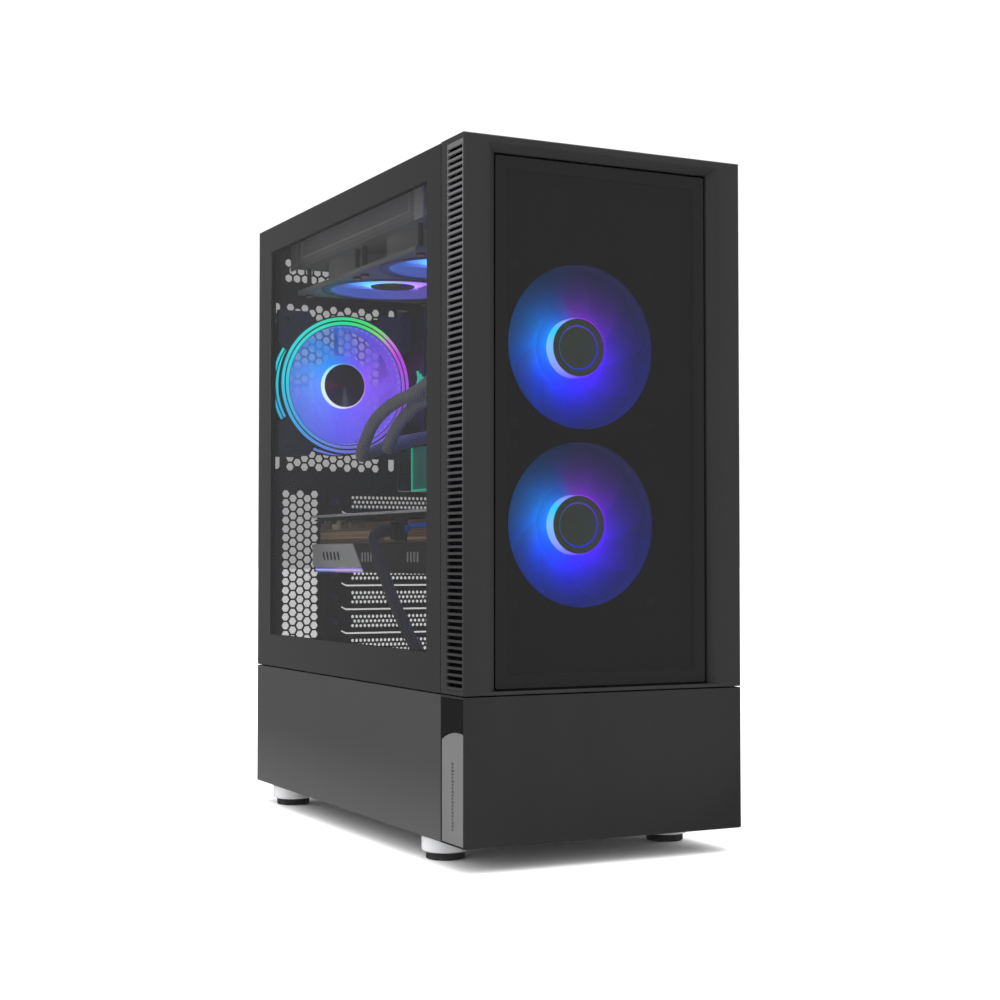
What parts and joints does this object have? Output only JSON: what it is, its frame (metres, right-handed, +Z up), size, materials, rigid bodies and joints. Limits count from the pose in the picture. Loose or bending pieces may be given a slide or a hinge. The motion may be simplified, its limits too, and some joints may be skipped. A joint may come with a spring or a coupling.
{
  "type": "desktop computer tower",
  "caption": "Upright desktop computer case with a glass side, tinted front, lit fans, liquid cooler and boards inside.",
  "frame": {"origin": "middle of the underside of the case's box, on the surface the feet stand on", "axes": "+Z up, -Y out of the front face, -X out of the glass side panel"},
  "size_m": [0.21, 0.401, 0.471],
  "materials": {
    "panel_steel": "satin black powder coat over sheet steel",
    "chassis_steel": "satin black painted chassis steel",
    "tinted_glass": "tempered glass with a grey tint",
    "clear_glass": "tempered glass with a faint grey tint",
    "printed_border": "matt black border band behind the glass",
    "bezel_plastic": "fine textured black plastic",
    "grille_plastic": "satin black moulded slats",
    "gloss_plastic": "gloss black plastic",
    "badge_grey": "satin grey plastic",
    "bright_ring": "polished chrome",
    "foot_rubber": "black rubber",
    "screw_steel": "black zinc plated steel",
    "filter_mesh": "fine nylon mesh in a plastic frame",
    "fan_plastic": "satin black moulded plastic",
    "blade_plastic": "translucent frosted plastic, lit from the hub",
    "light_diffuser": "frosted light diffuser",
    "radiator_metal": "satin black painted aluminium",
    "braided_sleeve": "braided nylon sleeve over rubber tube",
    "pump_plastic": "satin black housing",
    "pump_glass": "smoked mirror cap",
    "board_laminate": "black solder mask on laminate",
    "anodised": "bead-blasted anodised aluminium",
    "memory_metal": "anodised heat spreader",
    "socket_plastic": "moulded connector plastic",
    "port_steel": "nickel-plated stamped shells",
    "card_silver": "satin silver and graphite shroud",
    "fin_copper": "stamped fins on copper heat pipes",
    "plate_silver": "brushed back plate",
    "dark_fan": "gloss black fan",
    "cable_sleeve": "black sleeved wire",
    "power_steel": "matt black painted steel",
    "button_plastic": "satin black button"
  },
  "bodies": {
    "chassis": {"base_pan": "chassis_steel", "rear_wall": "chassis_steel", "roof_plate": "chassis_steel", "front_frame": "chassis_steel", "motherboard_tray": "chassis_steel", "psu_shroud": "chassis_steel", "left_lower_panel": "panel_steel", "front_bezel": "bezel_plastic", "front_glass": "tinted_glass", "front_lower_cover": "bezel_plastic", "side_vent_grilles": "grille_plastic", "corner_trim": "gloss_plastic", "corner_badge": "badge_grey", "top_dust_filter": "filter_mesh", "io_panel": "bezel_plastic", "io_ports": "port_steel", "foot_rings": "bright_ring", "foot_pads": "foot_rubber", "front_fan_lower_frame": "fan_plastic", "front_fan_upper_frame": "fan_plastic", "rear_fan_frame": "fan_plastic", "rear_fan_light_rings": "light_diffuser", "radiator_fan_front_frame": "fan_plastic", "radiator_fan_rear_frame": "fan_plastic", "chassis_screws": "screw_steel", "radiator": "radiator_metal", "coolant_tubes": "braided_sleeve", "pump_housing": "pump_plastic", "pump_cap": "pump_glass", "motherboard": "board_laminate", "board_heatsinks": "anodised", "memory_modules": "memory_metal", "board_sockets": "socket_plastic", "board_io_ports": "port_steel", "card_slot_covers": "chassis_steel", "graphics_card_shroud": "card_silver", "graphics_card_heatsink": "fin_copper", "graphics_card_board": "board_laminate", "graphics_card_backplate": "plate_silver", "graphics_card_power_cable": "cable_sleeve", "psu_housing": "power_steel", "psu_inlet": "socket_plastic", "drive_cage": "chassis_steel"},
    "left_panel": {"left_glass": "clear_glass", "left_glass_frame": "printed_border", "left_thumbscrews": "screw_steel"},
    "right_panel": {"right_side_panel": "panel_steel", "right_thumbscrews": "screw_steel"},
    "front_fan_lower": {"front_fan_lower_rotor": "blade_plastic"},
    "front_fan_upper": {"front_fan_upper_rotor": "blade_plastic"},
    "rear_fan": {"rear_fan_rotor": "blade_plastic"},
    "radiator_fan_front": {"radiator_fan_front_rotor": "blade_plastic"},
    "radiator_fan_rear": {"radiator_fan_rear_rotor": "blade_plastic"},
    "card_fan_rear": {"graphics_card_fan_rear_rotor": "dark_fan"},
    "card_fan_front": {"graphics_card_fan_front_rotor": "dark_fan"},
    "power_fan": {"psu_fan_rotor": "dark_fan"},
    "power_button_cap": {"power_button": "button_plastic"},
    "reset_button_cap": {"reset_button": "button_plastic"},
    "mains_rocker": {"psu_switch": "socket_plastic"},
    "power_filter": {"psu_dust_filter": "filter_mesh"}
  },
  "joints": [
    {"name": "left_panel_slide", "type": "slide", "parent": "chassis", "child": "left_panel", "axis": [0, 1, 0], "range_m": [0, 0.03]},
    {"name": "right_panel_slide", "type": "slide", "parent": "chassis", "child": "right_panel", "axis": [0, 1, 0], "range_m": [0, 0.03]},
    {"name": "front_fan_lower_spin", "type": "hinge", "parent": "chassis", "child": "front_fan_lower", "pos_m": [0, -0.1525, 0.222], "axis": [0, 1, 0], "continuous": true},
    {"name": "front_fan_upper_spin", "type": "hinge", "parent": "chassis", "child": "front_fan_upper", "pos_m": [0, -0.1525, 0.3425], "axis": [0, 1, 0], "continuous": true},
    {"name": "rear_fan_spin", "type": "hinge", "parent": "chassis", "child": "rear_fan", "pos_m": [-0.0374, 0.1805, 0.344], "axis": [0, 1, 0], "continuous": true},
    {"name": "radiator_fan_front_spin", "type": "hinge", "parent": "chassis", "child": "radiator_fan_front", "pos_m": [-0.018, -0.0045, 0.43], "axis": [0, 0, 1], "continuous": true},
    {"name": "radiator_fan_rear_spin", "type": "hinge", "parent": "chassis", "child": "radiator_fan_rear", "pos_m": [-0.018, 0.1155, 0.43], "axis": [0, 0, 1], "continuous": true},
    {"name": "card_fan_rear_spin", "type": "hinge", "parent": "chassis", "child": "card_fan_rear", "pos_m": [-0.005, 0.1295, 0.201], "axis": [0, 0, 1], "continuous": true},
    {"name": "card_fan_front_spin", "type": "hinge", "parent": "chassis", "child": "card_fan_front", "pos_m": [-0.005, 0.0235, 0.201], "axis": [0, 0, 1], "continuous": true},
    {"name": "power_fan_spin", "type": "hinge", "parent": "chassis", "child": "power_fan", "pos_m": [0, 0.1235, 0.03], "axis": [0, 0, 1], "continuous": true},
    {"name": "power_button_press", "type": "slide", "parent": "chassis", "child": "power_button_cap", "axis": [0, 0, -1], "range_m": [0, 0.0015], "stiffness_N_per_m": 900, "springref_m": -0.0005},
    {"name": "reset_button_press", "type": "slide", "parent": "chassis", "child": "reset_button_cap", "axis": [0, 0, -1], "range_m": [0, 0.0015], "stiffness_N_per_m": 700, "springref_m": -0.0005},
    {"name": "mains_rocker_tilt", "type": "hinge", "parent": "chassis", "child": "mains_rocker", "pos_m": [-0.056, 0.1905, 0.053], "axis": [1, 0, 0], "range_deg": [-8, 8]},
    {"name": "power_filter_slide", "type": "slide", "parent": "chassis", "child": "power_filter", "axis": [0, 1, 0], "range_m": [0, 0.13]}
  ]
}
